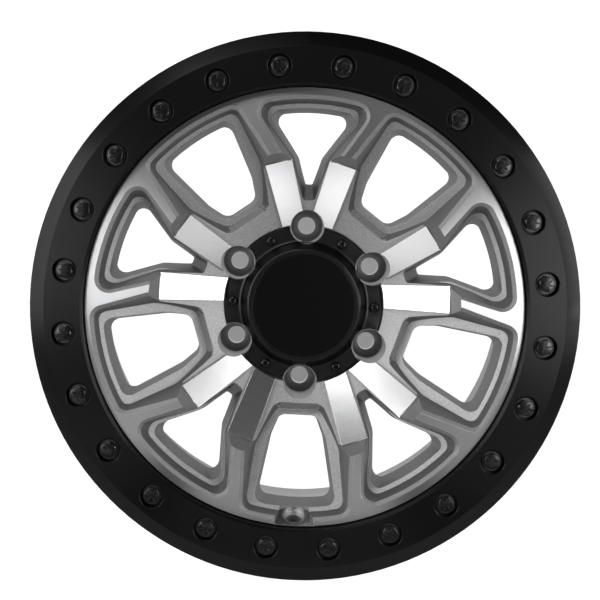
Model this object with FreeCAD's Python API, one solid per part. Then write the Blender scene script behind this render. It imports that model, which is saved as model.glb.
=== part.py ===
"""Beadlock wheel: a cast spoked body, a clamp ring with its bolts and washers, and a screwed-on centre cap.

Millimetres. The pieces are drawn in a wheel frame: z runs along the axle, outboard, from the hub mounting
face at z = 0, and y points at the paired spokes opposite the valve. The row frame, in which they are
written, has its origin at the centre of the mounting face, the axle along Y, outboard towards -Y, and +Z up.
"""
import FreeCAD, Part
import math
import os

V = FreeCAD.Vector
AXLE = V(0, 0, 1)
CENTRE = V(0, 0, 0)

# Rim barrel
RIM_R = 236.0               # over the inboard flange and the clamp ring
BEAD_SEAT_R = 218.3         # 17 inch bead seat
DROP_WELL_R = 197.0
BARREL_WALL = 6.0
INBOARD_Z = -127.0          # inboard edge of the rim
FLANGE_T = 9.0              # inboard flange thickness
FLANGE_ROUND = 4.0
SEAT_W = 22.0               # width of the inboard bead seat
HUMP_H = 1.6
WELL_RAMP = 34.0            # axial length of the slope from a bead seat to the drop well
WELL_W = 98.0
CLAMP_FACE_Z = 110.0        # face that the clamp ring bolts to
CLAMP_SEAT_W = 21.0         # width of the outboard seat under the clamped bead
SHOULDER_H = 6.0            # stop shoulder behind the clamped bead
SHOULDER_W = 7.0

# Spoked disc
BAND_Z = 118.0              # turned front face of the outer band and the spoke arms
BAND_R = 190.0              # spigot that centres the clamp ring
BAND_CHAMFER = 1.2
STEP_TOP_R = 134.5          # step between the spoke arms and the pads, top and foot
STEP_FOOT_R = 127.0
SHOULDER_OUT_Z = 85.5       # painted shoulder surface: height at the step's foot and at the cap recess
SHOULDER_IN_Z = 62.5
BACK_OUT_R = 178.0          # back of the spokes
BACK_OUT_Z = 72.0
BACK_IN_R = 92.0
BACK_IN_Z = 26.0
HUB_R = 88.0                # mounting face
PAIR_COUNT = 5
PAIR_PITCH = 360.0 / PAIR_COUNT

# Windows: the narrow one inside each spoke pair and the wide one between pairs. A window has a pocket in the
# turned face, a ledge, and an opening with a front and a back outline. An outline has an outer arc radius, the
# radius of its outer corners, and the right side's points: two on the side, the later ones with corner radii.
LIP_RUN = 3.4               # bevelled lip round each pocket: sideways run and drop
LIP_DROP = 1.8
POCKET_DRAFT = 0.22         # sideways run of the pocket walls for each millimetre of depth
NARROW_POCKET_R = 182.5
NARROW_POCKET_CORNER = 12.5
NARROW_POCKET_SIDE = [(51.0, 167.0), (27.1, 130.5, 12.0), (14.5, 84.0, 4.0)]
NARROW_FOOT_END = (6.0, 96.0, 2.0)
NARROW_FOOT_Z = 74.0
NARROW_FRONT_R = 172.5
NARROW_FRONT_SIDE = [(40.0, 166.0), (16.6, 130.5, 16.0), (7.5, 80.0, 5.0)]
NARROW_BACK_R = 167.5
NARROW_BACK_SIDE = [(24.0, 160.0), (6.9, 132.5, 16.0), (1.6, 116.0, 1.2)]
NARROW_CORNER = 7.5
WIDE_POCKET_R = 185.0
WIDE_POCKET_CORNER = 11.5
WIDE_POCKET_SIDE = [(48.8, 168.0), (48.8, 126.0, 16.0), (34.0, 62.0, 12.0)]
WIDE_FOOT_END = (17.0, 98.0, 8.0)
WIDE_FOOT_Z = 54.0
WIDE_FRONT_R = 175.5
WIDE_FRONT_SIDE = [(35.5, 165.0), (29.0, 118.0, 26.0), (19.5, 97.0, 9.0)]
WIDE_BACK_R = 170.0
WIDE_BACK_SIDE = [(26.0, 160.0), (20.5, 122.0, 26.0), (14.5, 104.0, 9.0)]
WIDE_CORNER = 8.5
LEDGE_OUT_R = 176.0         # pocket floor: height at its outer and inner radius
LEDGE_OUT_Z = 103.0
LEDGE_IN_R = 93.0
LEDGE_IN_Z = 58.0
TOOL_TOP_Z = BAND_Z + 12.0
TOOL_FOOT_Z = 14.0

# Machined pads on the spokes
PAD_ANGLE = 16.5            # lean of a pad from the pair's axis
PAD_CROSS_Y = 30.0          # where the two pads' centrelines meet, on the pair's axis
PAD_OUT_W = 24.2            # width at the step and at the cap recess
PAD_IN_W = 20.6
PAD_OUT_Z = 91.0            # height at the step's foot and at the cap recess
PAD_IN_Z = 67.5
HOLLOW_W = 13.0             # lightening hollow in the back of each spoke
HOLLOW_ROOF = 24.0          # metal left between a hollow and its pad
HOLLOW_IN_R = 98.0
HOLLOW_OUT_R = 138.0

# Hub
BORE_R = 53.05              # 106.1 mm centre bore
BORE_L = 36.0
BORE_RELIEF_R = 56.0
RECESS_R = 71.5             # turned recess for the cap's flange
RECESS_Z = 58.0
LUG_COUNT = 6
LUG_PCD = 139.7
LUG_HOLE_R = 8.0
LUG_SEAT_Z = 12.0           # narrow end of the 60 degree nut seat
LUG_POCKET_R = 14.5
HUB_POCKET_DEPTH = 14.0     # lightening pockets between the lugs
HUB_POCKET_R = 11.0

# Valve hole
VALVE_HOLE_R = 5.75
VALVE_SPOT_R = 10.8         # counterbore for the valve's nut
VALVE_SPOT_DEPTH = 7.0
VALVE_LEAN = 57.0           # lean of the hole's axis from the axle
VALVE_R = 180.5             # where the axis meets the milled flat
VALVE_Z = 106.0
VALVE_FLAT_FOOT_W = 24.0    # milled flat: width at its foot on the ledge and where it leaves the band
VALVE_FLAT_TOP_W = 36.0
VALVE_FLAT_FOOT = 7.0       # length from the axis to its foot and to its top
VALVE_FLAT_TOP = 16.0
VALVE_PAD_W = 20.0          # cast pad on the ledge at the flat's foot
VALVE_PAD_L = 7.0
VALVE_PAD_H = 3.0

# Clamp ring
RING_Z = 127.0              # front face
RING_GAP = 0.25             # radial clearance on the spigot
RING_EDGE_Z = 119.5         # where the outer bevel ends
RING_BEVEL_R = 223.0        # where the outer bevel starts
RING_LIP_Z = 112.5          # back of the lip that bears on the tyre bead
RING_LIP_R = 219.5
RING_INNER_BREAK = 1.6
RING_CLOCKING = -6.4        # first bolt, from the pair's axis

# Ring bolts, 5/16 inch
RING_BOLT_COUNT = 24
RING_BOLT_R = 207.5
BOLT_D = 7.9
BOLT_AF = 12.7
BOLT_HEAD_H = 5.4
BOLT_LENGTH = 25.4
BOLT_GAP = 0.35             # radial clearance through the washer and the ring
THREAD_GAP = 0.1            # radial clearance in the tapped hole
TAP_TIP = 3.0               # tapped hole beyond the bolt's end
WASHER_R = 8.75
WASHER_T = 1.7
SPOT_R = 10.1               # counterbore round a bolt head
SPOT_DEPTH = 8.0
SPOT_BREAK = 0.6

# Centre cap
CAP_R = 70.6
CAP_FLANGE_T = 4.6
CAP_NOTCH_R = 15.6          # scallop round each lug pocket
CAP_DOME_R = 56.0
CAP_TOP_R = 50.0
CAP_TOP_Z = 82.0
CAP_FILLET = 3.4
CAP_WALL = 3.2
CAP_TOP_BREAK = 1.8
PLATE_R = 45.3
PLATE_T = 2.0
PLATE_GAP = 0.12
PLATE_BREAK = 0.4
CAP_SCREW_R = 63.5
CAP_SCREW_D = 5.0
CAP_SCREW_L = 14.0
CAP_SCREW_HEAD_R = 4.4
CAP_SCREW_HEAD_H = 2.8
CAP_SCREW_HEX_AF = 3.0
CAP_SCREW_HEX_DEPTH = 1.6
CAP_SCREW_GAP = 0.25


def unit(a, b):
    """Unit vector from one point to another, in a plane."""
    length = math.hypot(b[0] - a[0], b[1] - a[1])
    return (b[0] - a[0]) / length, (b[1] - a[1]) / length


def corner(before, point, after, radius):
    """Start, middle and end of the arc that rounds a corner."""
    d0 = unit(point, before)
    d1 = unit(point, after)
    half = 0.5 * math.acos(max(-1.0, min(1.0, d0[0] * d1[0] + d0[1] * d1[1])))
    run = radius / math.tan(half)
    bis = unit((0, 0), (d0[0] + d1[0], d0[1] + d1[1]))
    reach = radius / math.sin(half) - radius
    start = (point[0] + d0[0] * run, point[1] + d0[1] * run)
    end = (point[0] + d1[0] * run, point[1] + d1[1] * run)
    middle = (point[0] + bis[0] * reach, point[1] + bis[1] * reach)
    return start, middle, end


def closed_wire(spans, place):
    """Wire through spans, each a line (2 points) or an arc (3 points), with the gaps between them as lines."""
    edges = []
    for i, span in enumerate(spans):
        if len(span) == 3:
            edges.append(Part.Arc(*[place(p) for p in span]).toShape())
        elif len(span) == 2:
            edges.append(Part.LineSegment(place(span[0]), place(span[1])).toShape())
        gap_start = span[-1]
        gap_end = spans[(i + 1) % len(spans)][0]
        if math.hypot(gap_end[0] - gap_start[0], gap_end[1] - gap_start[1]) > 1e-6:
            edges.append(Part.LineSegment(place(gap_start), place(gap_end)).toShape())
    return Part.Wire(edges)


def rounded(points, place):
    """Wire round a polygon of (a, b) or (a, b, corner radius) points."""
    spans = []
    for i, point in enumerate(points):
        if len(point) == 3:
            spans.append(corner(points[i - 1], point, points[(i + 1) % len(points)], point[2]))
        else:
            spans.append((point,))
    return closed_wire(spans, place)


def turned(points):
    """Solid of revolution about the axle from (radius, z) points."""
    wire = rounded(points, lambda p: V(p[0], 0, p[1]))
    return Part.Face(wire).revolve(CENTRE, AXLE, 360)


def disc(radius, z0, z1, x=0.0, y=0.0):
    """Cylinder along the axle."""
    return Part.makeCylinder(radius, z1 - z0, V(x, y, z0), AXLE)


def cone(r0, r1, z0, z1, x=0.0, y=0.0):
    """Cone along the axle."""
    return Part.makeCone(r0, r1, z1 - z0, V(x, y, z0), AXLE)


def spun(shape, angle):
    """Copy of a shape turned about the axle."""
    copy = shape.copy()
    copy.rotate(CENTRE, AXLE, angle)
    return copy


def around(shape, count, first=0.0):
    """Copies of a shape spaced evenly about the axle."""
    return [spun(shape, first + i * 360.0 / count) for i in range(count)]


def polar(radius, angle):
    """Point at an angle from the pair's axis, anticlockwise seen from outboard."""
    a = math.radians(angle)
    return -radius * math.sin(a), radius * math.cos(a)


def hexagon(across_flats, z0, z1, x=0.0, y=0.0):
    """Hexagonal prism along the axle."""
    reach = across_flats / math.sqrt(3)
    points = [V(x + reach * math.cos(math.radians(60 * i)), y + reach * math.sin(math.radians(60 * i)), z0)
              for i in range(6)]
    return Part.Face(Part.makePolygon(points + points[:1])).extrude(V(0, 0, z1 - z0))


def window_outline(outer_r, corner_r, side, z):
    """Symmetric window outline: an arc about the axle, rounded corners, two sides and a straight inner end."""
    first, second = side[0], side[1]
    along = unit(first, second)
    inward = (along[1], -along[0])
    if inward[0] > 0:
        inward = (-inward[0], -inward[1])
    # Centre of the corner arc: corner_r from the side, and corner_r inside the outer arc.
    foot = (first[0] + inward[0] * corner_r, first[1] + inward[1] * corner_r)
    b = foot[0] * along[0] + foot[1] * along[1]
    c = foot[0] ** 2 + foot[1] ** 2 - (outer_r - corner_r) ** 2
    step = -b - math.sqrt(b * b - c)
    centre = (foot[0] + along[0] * step, foot[1] + along[1] * step)
    grow = outer_r / (outer_r - corner_r)
    on_arc = (centre[0] * grow, centre[1] * grow)
    on_side = (centre[0] - inward[0] * corner_r, centre[1] - inward[1] * corner_r)
    reach = math.hypot(*centre)
    out = unit((0, 0), (centre[0] / reach - inward[0], centre[1] / reach - inward[1]))
    middle = (centre[0] + out[0] * corner_r, centre[1] + out[1] * corner_r)
    right = [(on_arc, middle, on_side)]
    for i in range(1, len(side)):
        after = side[i + 1] if i + 1 < len(side) else (-side[i][0], side[i][1])
        right.append(corner(side[i - 1], side[i], after, side[i][2]))
    left = [tuple((-p[0], p[1]) for p in reversed(span)) for span in reversed(right)]
    top = ((-on_arc[0], on_arc[1]), (0.0, outer_r), on_arc)
    return closed_wire([top] + right + left, lambda p: V(p[0], p[1], z))


def lofted(sections):
    """Straight-sided solid through window outlines."""
    return Part.makeLoft([window_outline(*s) for s in sections], True, True)


def above_ledge():
    """Everything outboard of the pocket floor, a cone about the axle."""
    slope = (LEDGE_OUT_Z - LEDGE_IN_Z) / (LEDGE_OUT_R - LEDGE_IN_R)
    inner_z = LEDGE_IN_Z - slope * LEDGE_IN_R
    outer_z = LEDGE_IN_Z + slope * (BAND_R - LEDGE_IN_R)
    return turned([(0, inner_z), (BAND_R, outer_z), (BAND_R, TOOL_TOP_Z), (0, TOOL_TOP_Z)])


def widened(side, reach):
    """Side of an outline moved outwards, or inwards by a negative reach."""
    return [(p[0] + reach, p[1]) + tuple(p[2:]) for p in side]


def stretched(inner, outer, rise):
    """Side of an outline carried on from one side through another, by a share of the way between them."""
    points = []
    for a, b in zip(inner, outer):
        points.append((b[0] + (b[0] - a[0]) * rise, b[1] + (b[1] - a[1]) * rise) + tuple(b[2:]))
    return points


def pocket(mouth_r, corner_r, side, foot_end, foot_z):
    """Tools for a pocket in the turned face: its bevelled lip, and its drafted walls down to the ledge."""
    lip_z = BAND_Z - LIP_DROP
    depth = lip_z - foot_z
    run = POCKET_DRAFT * depth
    wall_side = widened(side, -LIP_RUN)
    foot_side = widened(wall_side[:-1], -run) + [foot_end]
    rise = (TOOL_TOP_Z - lip_z) / depth
    walls = lofted([
        (mouth_r - LIP_RUN - run, corner_r - LIP_RUN, foot_side, foot_z),
        (mouth_r - LIP_RUN + run * rise, corner_r - LIP_RUN, stretched(foot_side, wall_side, rise), TOOL_TOP_Z),
    ])
    lip = lofted([
        (mouth_r + LIP_RUN * n, corner_r + LIP_RUN * n, widened(side, LIP_RUN * n), BAND_Z + LIP_DROP * n)
        for n in (-2, 1)
    ])
    return walls.common(above_ledge()), lip


def narrow_window():
    """Tools for the window inside a spoke pair: its pocket's walls and lip, and its opening."""
    walls, lip = pocket(
        NARROW_POCKET_R, NARROW_POCKET_CORNER, NARROW_POCKET_SIDE, NARROW_FOOT_END, NARROW_FOOT_Z)
    opening = lofted([
        (NARROW_BACK_R, NARROW_CORNER, NARROW_BACK_SIDE, TOOL_FOOT_Z),
        (NARROW_FRONT_R, NARROW_CORNER, NARROW_FRONT_SIDE, LEDGE_OUT_Z + 2.0),
    ])
    return walls, lip, opening


def wide_window():
    """Tools for the window between spoke pairs, drawn on the pair's axis."""
    walls, lip = pocket(
        WIDE_POCKET_R, WIDE_POCKET_CORNER, WIDE_POCKET_SIDE, WIDE_FOOT_END, WIDE_FOOT_Z)
    opening = lofted([
        (WIDE_BACK_R, WIDE_CORNER, WIDE_BACK_SIDE, TOOL_FOOT_Z),
        (WIDE_FRONT_R, WIDE_CORNER, WIDE_FRONT_SIDE, LEDGE_OUT_Z + 2.0),
    ])
    return walls, lip, opening


def spoke_block(hand, start_r, end_r, start_w, end_w, drop, foot_z):
    """Block along one spoke of a pair, its top parallel to the pad's and lower by drop; hand is 1 or -1."""
    lean = math.radians(PAD_ANGLE)
    along = (hand * math.sin(lean), math.cos(lean))
    side = (math.cos(lean), -hand * math.sin(lean))
    slope = (PAD_OUT_Z - PAD_IN_Z) / (STEP_FOOT_R - RECESS_R)
    plan = []
    heights = []
    for r, w in ((start_r, -start_w), (end_r, -end_w), (end_r, end_w), (start_r, start_w)):
        s = r - PAD_CROSS_Y
        plan.append((along[0] * s + 0.5 * side[0] * w, PAD_CROSS_Y + along[1] * s + 0.5 * side[1] * w))
        heights.append(PAD_IN_Z + slope * (r - RECESS_R) - drop)
    foot = Part.makePolygon([V(p[0], p[1], foot_z) for p in plan + plan[:1]])
    top = Part.makePolygon([V(p[0], p[1], z) for p, z in zip(plan + plan[:1], heights + heights[:1])])
    return Part.makeLoft([foot, top], True, True)


def pad(hand):
    """Raised block with a milled, sloping top."""
    foot_z = SHOULDER_IN_Z - 6.0
    return spoke_block(hand, RECESS_R - 6.0, STEP_FOOT_R + 2.0, PAD_IN_W, PAD_OUT_W, 0.0, foot_z)


def spoke_hollow(hand):
    """Lightening hollow in the back of a spoke."""
    foot_z = BACK_IN_Z - 10.0
    return spoke_block(hand, HOLLOW_IN_R, HOLLOW_OUT_R, HOLLOW_W, HOLLOW_W, HOLLOW_ROOF, foot_z)


def spoked_disc():
    """Disc with its turned front, cut through by the windows, with the milled pads."""
    blank = turned([
        (BORE_R - 4.0, 0.0), (HUB_R, 0.0, 3.0), (BACK_IN_R, BACK_IN_Z, 8.0), (BACK_OUT_R, BACK_OUT_Z),
        (BAND_R + 6.0, BACK_OUT_Z), (BAND_R + 6.0, CLAMP_FACE_Z), (BAND_R, CLAMP_FACE_Z),
        (BAND_R, BAND_Z - BAND_CHAMFER), (BAND_R - BAND_CHAMFER, BAND_Z), (STEP_TOP_R, BAND_Z),
        (STEP_FOOT_R, SHOULDER_OUT_Z, 1.5), (RECESS_R - 4.0, SHOULDER_IN_Z), (BORE_R - 4.0, SHOULDER_IN_Z),
    ])
    narrow_walls, narrow_lip, narrow_opening = narrow_window()
    wide_walls, wide_lip, wide_opening = wide_window()
    half_pitch = 0.5 * PAIR_PITCH
    cuts = []
    for tool in (narrow_walls, narrow_lip):
        cuts += around(tool, PAIR_COUNT)
    for tool in (wide_walls, wide_lip):
        cuts += around(tool, PAIR_COUNT, half_pitch)
    disc_shape = blank.cut(cuts)
    pads = around(pad(1), PAIR_COUNT) + around(pad(-1), PAIR_COUNT)
    disc_shape = disc_shape.fuse(pads + [valve_pad()])
    hollows = around(spoke_hollow(1), PAIR_COUNT) + around(spoke_hollow(-1), PAIR_COUNT)
    openings = around(narrow_opening, PAIR_COUNT) + around(wide_opening, PAIR_COUNT, half_pitch)
    return disc_shape.cut(openings + hollows)


def barrel():
    """Rim barrel: inboard flange and bead seat, drop well, and the seat and face for the clamped bead."""
    well_in = INBOARD_Z + FLANGE_T + SEAT_W + WELL_RAMP
    well_out = well_in + WELL_W
    seat_out = CLAMP_FACE_Z - CLAMP_SEAT_W
    inner = DROP_WELL_R - BARREL_WALL
    mouth = BEAD_SEAT_R - BARREL_WALL
    return turned([
        (mouth, INBOARD_Z), (RIM_R, INBOARD_Z, FLANGE_ROUND), (RIM_R, INBOARD_Z + 0.8 * FLANGE_T, 2.0),
        (BEAD_SEAT_R + 8.0, INBOARD_Z + FLANGE_T, 4.0), (BEAD_SEAT_R, INBOARD_Z + FLANGE_T + 2.0, 3.0),
        (BEAD_SEAT_R + 0.4, INBOARD_Z + FLANGE_T + SEAT_W - 8.0, 2.0),
        (BEAD_SEAT_R + HUMP_H, INBOARD_Z + FLANGE_T + SEAT_W - 4.0, 3.0),
        (BEAD_SEAT_R - 1.0, INBOARD_Z + FLANGE_T + SEAT_W, 4.0),
        (DROP_WELL_R, well_in, 14.0), (DROP_WELL_R, well_out, 14.0),
        (BEAD_SEAT_R, seat_out - SHOULDER_W - 14.0, 8.0), (BEAD_SEAT_R + SHOULDER_H, seat_out - SHOULDER_W, 2.0),
        (BEAD_SEAT_R + SHOULDER_H, seat_out, 2.0), (BEAD_SEAT_R, seat_out + 2.0, 2.0),
        (BEAD_SEAT_R, CLAMP_FACE_Z, 1.5), (BAND_R, CLAMP_FACE_Z), (BAND_R, BACK_OUT_Z),
        (BAND_R - 4.0, BACK_OUT_Z), (inner, BACK_OUT_Z - 22.0, 12.0), (inner, well_in + 8.0, 16.0),
        (mouth, INBOARD_Z + FLANGE_T + 8.0, 10.0),
    ])


def lug_hole():
    """Nut pocket, 60 degree seat and stud hole of one lug, at the top of the bolt circle."""
    y = 0.5 * LUG_PCD
    seat_top = LUG_SEAT_Z + (LUG_POCKET_R - LUG_HOLE_R) * math.sqrt(3)
    hole = disc(LUG_HOLE_R, -1.0, LUG_SEAT_Z + 1.0, 0, y)
    seat = cone(LUG_HOLE_R, LUG_POCKET_R, LUG_SEAT_Z, seat_top, 0, y)
    pocket_shape = disc(LUG_POCKET_R, seat_top, TOOL_TOP_Z, 0, y)
    return hole.fuse([seat, pocket_shape])


def hub_pocket():
    """Lightening pocket in the mounting face, between two lugs."""
    return disc(HUB_POCKET_R, -1.0, HUB_POCKET_DEPTH, 0, 0.5 * LUG_PCD)


def valve_frame():
    """Centre of the milled flat, its outward normal and its direction towards the rim."""
    lean = math.radians(VALVE_LEAN)
    return V(0, -VALVE_R, VALVE_Z), V(0, math.sin(lean), math.cos(lean)), V(0, -math.cos(lean), math.sin(lean))


def valve_cut():
    """Valve hole, its counterbore and the milled flat round it, opposite the first spoke pair."""
    centre, normal, up = valve_frame()
    side = V(1, 0, 0)
    hole = Part.makeCylinder(VALVE_HOLE_R, 80, centre, normal * -1)
    spot = Part.makeCylinder(VALVE_SPOT_R, VALVE_SPOT_DEPTH + 1.0, centre - normal * VALVE_SPOT_DEPTH, normal)
    corners = []
    for along, width in ((-VALVE_FLAT_FOOT, VALVE_FLAT_FOOT_W), (VALVE_FLAT_TOP, VALVE_FLAT_TOP_W)):
        ends = [centre + up * along + side * (0.5 * width * hand) for hand in (-1, 1)]
        corners += ends if along < 0 else ends[::-1]
    flat = Part.Face(Part.makePolygon(corners + corners[:1])).extrude(normal * 30)
    return hole.fuse([spot, flat])


def valve_pad():
    """Small cast pad on the ledge, inboard of the valve's flat."""
    outer_r = VALVE_R - VALVE_FLAT_FOOT * math.cos(math.radians(VALVE_LEAN))
    slope = (LEDGE_OUT_Z - LEDGE_IN_Z) / (LEDGE_OUT_R - LEDGE_IN_R)
    top_z = LEDGE_IN_Z + slope * (outer_r - LEDGE_IN_R) + VALVE_PAD_H
    foot_z = BACK_OUT_Z + 4.0
    return Part.makeBox(VALVE_PAD_W, VALVE_PAD_L, top_z - foot_z, V(-0.5 * VALVE_PAD_W, -outer_r, foot_z))


def ring_stations():
    """Plan position of each ring bolt."""
    return [polar(RING_BOLT_R, RING_CLOCKING + i * 360.0 / RING_BOLT_COUNT) for i in range(RING_BOLT_COUNT)]


def cap_stations():
    """Plan position of each cap screw, halfway between lugs."""
    return [polar(CAP_SCREW_R, (i + 0.5) * 360.0 / LUG_COUNT) for i in range(LUG_COUNT)]


def spot_floor_z():
    """Floor of the counterbores in the clamp ring."""
    return RING_Z - SPOT_DEPTH


def bolt_end_z():
    """Inboard end of the ring bolts."""
    return spot_floor_z() + WASHER_T - BOLT_LENGTH


def cap_flange_z():
    """Outboard face of the cap's flange."""
    return RECESS_Z + CAP_FLANGE_T


def wheel_body():
    """One casting: barrel, spoked disc and hub, with everything turned, drilled and tapped in it."""
    body = spoked_disc().fuse(barrel())
    cuts = [
        disc(BORE_R, -1.0, BORE_L + 1.0),
        disc(BORE_RELIEF_R, BORE_L, TOOL_TOP_Z),
        disc(RECESS_R, RECESS_Z, TOOL_TOP_Z),
    ]
    cuts += around(lug_hole(), LUG_COUNT)
    cuts += around(hub_pocket(), LUG_COUNT, 180.0 / LUG_COUNT)
    tap_r = 0.5 * BOLT_D + THREAD_GAP
    for x, y in ring_stations():
        cuts.append(disc(tap_r, bolt_end_z() - TAP_TIP, CLAMP_FACE_Z + 1.0, x, y))
    screw_r = 0.5 * CAP_SCREW_D + THREAD_GAP
    for x, y in cap_stations():
        cuts.append(disc(screw_r, cap_flange_z() - CAP_SCREW_L - TAP_TIP, RECESS_Z + 1.0, x, y))
    cuts.append(valve_cut())
    return body.cut(cuts).removeSplitter()


def clamp_ring():
    """Ring that clamps the tyre bead, with a counterbored hole for each bolt."""
    inner = BAND_R + RING_GAP
    ring = turned([
        (inner, CLAMP_FACE_Z), (RING_LIP_R, CLAMP_FACE_Z), (RING_LIP_R + 1.0, RING_LIP_Z),
        (RIM_R, RING_LIP_Z, 1.0), (RIM_R, RING_EDGE_Z, 1.2), (RING_BEVEL_R, RING_Z),
        (inner + RING_INNER_BREAK, RING_Z), (inner, RING_Z - RING_INNER_BREAK),
    ])
    cuts = []
    for x, y in ring_stations():
        cuts.append(disc(0.5 * BOLT_D + BOLT_GAP, CLAMP_FACE_Z - 1.0, RING_Z, x, y))
        cuts.append(disc(SPOT_R, spot_floor_z(), RING_Z + 1.0, x, y))
        cuts.append(cone(SPOT_R, SPOT_R + 2 * SPOT_BREAK, RING_Z - SPOT_BREAK, RING_Z + SPOT_BREAK, x, y))
    return ring.cut(cuts)


def ring_bolt(x, y):
    """Hexagon-headed bolt with a chamfered head."""
    seat = spot_floor_z() + WASHER_T
    top = seat + BOLT_HEAD_H
    head = hexagon(BOLT_AF, seat, top, x, y)
    reach = BOLT_AF / math.sqrt(3)
    crown = cone(reach + 2.0, 0.5 * BOLT_AF - 0.2, seat + 0.5 * BOLT_HEAD_H, top, x, y)
    barrel_cut = disc(reach + 2.0, seat, seat + 0.5 * BOLT_HEAD_H, x, y)
    head = head.common(crown.fuse(barrel_cut))
    shank = disc(0.5 * BOLT_D, bolt_end_z() + 1.0, seat, x, y)
    tip = cone(0.5 * BOLT_D - 1.0, 0.5 * BOLT_D, bolt_end_z(), bolt_end_z() + 1.0, x, y)
    return head.fuse([shank, tip]).removeSplitter()


def ring_washer(x, y):
    """Flat washer under a bolt head."""
    z = spot_floor_z()
    hole = disc(0.5 * BOLT_D + BOLT_GAP, z - 1.0, z + WASHER_T + 1.0, x, y)
    return disc(WASHER_R, z, z + WASHER_T, x, y).cut(hole)


def centre_cap():
    """Cap with a scalloped flange, a domed boss and a recess for its plate; hollow behind."""
    flange_z = cap_flange_z()
    roof_z = CAP_TOP_Z - PLATE_T - CAP_WALL
    shell = turned([
        (0, CAP_TOP_Z), (0, roof_z), (CAP_TOP_R - CAP_WALL - 1.0, roof_z, 3.0),
        (CAP_DOME_R - CAP_WALL, RECESS_Z), (CAP_R, RECESS_Z), (CAP_R, flange_z, 1.0),
        (CAP_DOME_R, flange_z, CAP_FILLET), (CAP_TOP_R, CAP_TOP_Z, CAP_TOP_BREAK),
    ])
    cuts = [disc(PLATE_R + PLATE_GAP, CAP_TOP_Z - PLATE_T, CAP_TOP_Z + 1.0)]
    cuts += around(disc(CAP_NOTCH_R, RECESS_Z - 1.0, CAP_TOP_Z + 1.0, 0, 0.5 * LUG_PCD), LUG_COUNT)
    for x, y in cap_stations():
        cuts.append(disc(0.5 * CAP_SCREW_D + CAP_SCREW_GAP, RECESS_Z - 1.0, flange_z + 1.0, x, y))
    return shell.cut(cuts)


def cap_plate():
    """Round plate set into the cap, left bare."""
    back_z = CAP_TOP_Z - PLATE_T
    return turned([
        (0, back_z), (PLATE_R, back_z), (PLATE_R, CAP_TOP_Z - PLATE_BREAK), (PLATE_R - PLATE_BREAK, CAP_TOP_Z),
        (0, CAP_TOP_Z),
    ])


def cap_screw(x, y):
    """Button-headed socket screw."""
    seat = cap_flange_z()
    end = seat - CAP_SCREW_L
    head = turned([
        (0, end), (0.5 * CAP_SCREW_D, end), (0.5 * CAP_SCREW_D, seat), (CAP_SCREW_HEAD_R, seat),
        (CAP_SCREW_HEAD_R, seat + CAP_SCREW_HEAD_H, 2.0), (0, seat + CAP_SCREW_HEAD_H),
    ])
    head = head.cut(hexagon(CAP_SCREW_HEX_AF, seat + CAP_SCREW_HEAD_H - CAP_SCREW_HEX_DEPTH, seat + 5.0))
    head.translate(V(x, y, 0))
    return head


def write(name, shape):
    """Writes one node in the row frame."""
    placed = shape.copy()
    placed.rotate(CENTRE, V(1, 0, 0), 90)
    placed.exportStep(f"parts/{name}.step")


def main():
    os.makedirs("parts", exist_ok=True)
    write("wheel_body", wheel_body())
    write("beadlock_ring", clamp_ring())
    write("ring_bolts", Part.makeCompound([ring_bolt(x, y) for x, y in ring_stations()]))
    write("ring_washers", Part.makeCompound([ring_washer(x, y) for x, y in ring_stations()]))
    write("centre_cap", centre_cap())
    write("cap_plate", cap_plate())
    write("cap_screws", Part.makeCompound([cap_screw(x, y) for x, y in cap_stations()]))


main()
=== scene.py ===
import math

import bmesh
import bpy
from mathutils import Matrix, Vector


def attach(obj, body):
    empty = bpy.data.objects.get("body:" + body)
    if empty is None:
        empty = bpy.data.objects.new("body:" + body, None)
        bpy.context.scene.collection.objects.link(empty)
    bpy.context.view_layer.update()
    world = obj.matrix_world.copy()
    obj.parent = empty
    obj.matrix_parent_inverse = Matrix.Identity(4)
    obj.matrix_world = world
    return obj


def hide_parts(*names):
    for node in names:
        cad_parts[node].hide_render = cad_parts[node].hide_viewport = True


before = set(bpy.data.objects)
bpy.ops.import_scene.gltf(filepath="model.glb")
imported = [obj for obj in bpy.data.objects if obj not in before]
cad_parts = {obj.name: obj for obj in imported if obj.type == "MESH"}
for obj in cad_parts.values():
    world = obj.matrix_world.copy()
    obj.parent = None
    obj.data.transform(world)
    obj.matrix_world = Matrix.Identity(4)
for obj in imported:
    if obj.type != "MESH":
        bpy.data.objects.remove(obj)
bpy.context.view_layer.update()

MM_PER_M = 1000.0

# Sizes that the dressed pieces share with the solids, in millimetres and degrees, in the wheel's own frame:
# z runs outboard from the hub mounting face, y points up at the first spoke pair.
BAND_Z = 118.0
BAND_CHAMFER = 1.2
BAND_R = 190.0
PAIR_COUNT = 5
PAD_LEAN = 16.5
PAD_CROSS_Y = 30.0
PAD_IN_R = 71.5
PAD_OUT_R = 127.0
PAD_IN_Z = 67.5
PAD_OUT_Z = 91.0
PAD_HALF_W = 12.5
LIP_DROP = 1.8
STEP_IN_R = 126.0
STEP_OUT_R = 135.0
LUG_COUNT = 6
LUG_CIRCLE_R = 69.85
LUG_POCKET_R = 14.5
VALVE_LEAN = 57.0
VALVE_R = 180.5
VALVE_FLAT_HALF_W = 25.0
BARREL_INNER_R = 176.0
BARREL_BACK_Z = 71.0
BOLT_COUNT = 24
BOLT_CIRCLE_R = 207.5
BOLT_FIRST_ANGLE = -6.4
SPOT_FLOOR_Z = 119.0
WASHER_T = 1.7
WASHER_R = 8.75
BOLT_AF = 12.7
BOLT_HEAD_H = 5.4
BOLT_SHANK_R = 3.95
BOLT_LENGTH = 25.4
SCREW_COUNT = 6
SCREW_CIRCLE_R = 63.5
SCREW_SEAT_Z = 62.6
SCREW_HEAD_R = 4.4
SCREW_HEAD_H = 2.8
SCREW_SHANK_R = 2.5
SCREW_LENGTH = 14.0
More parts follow.
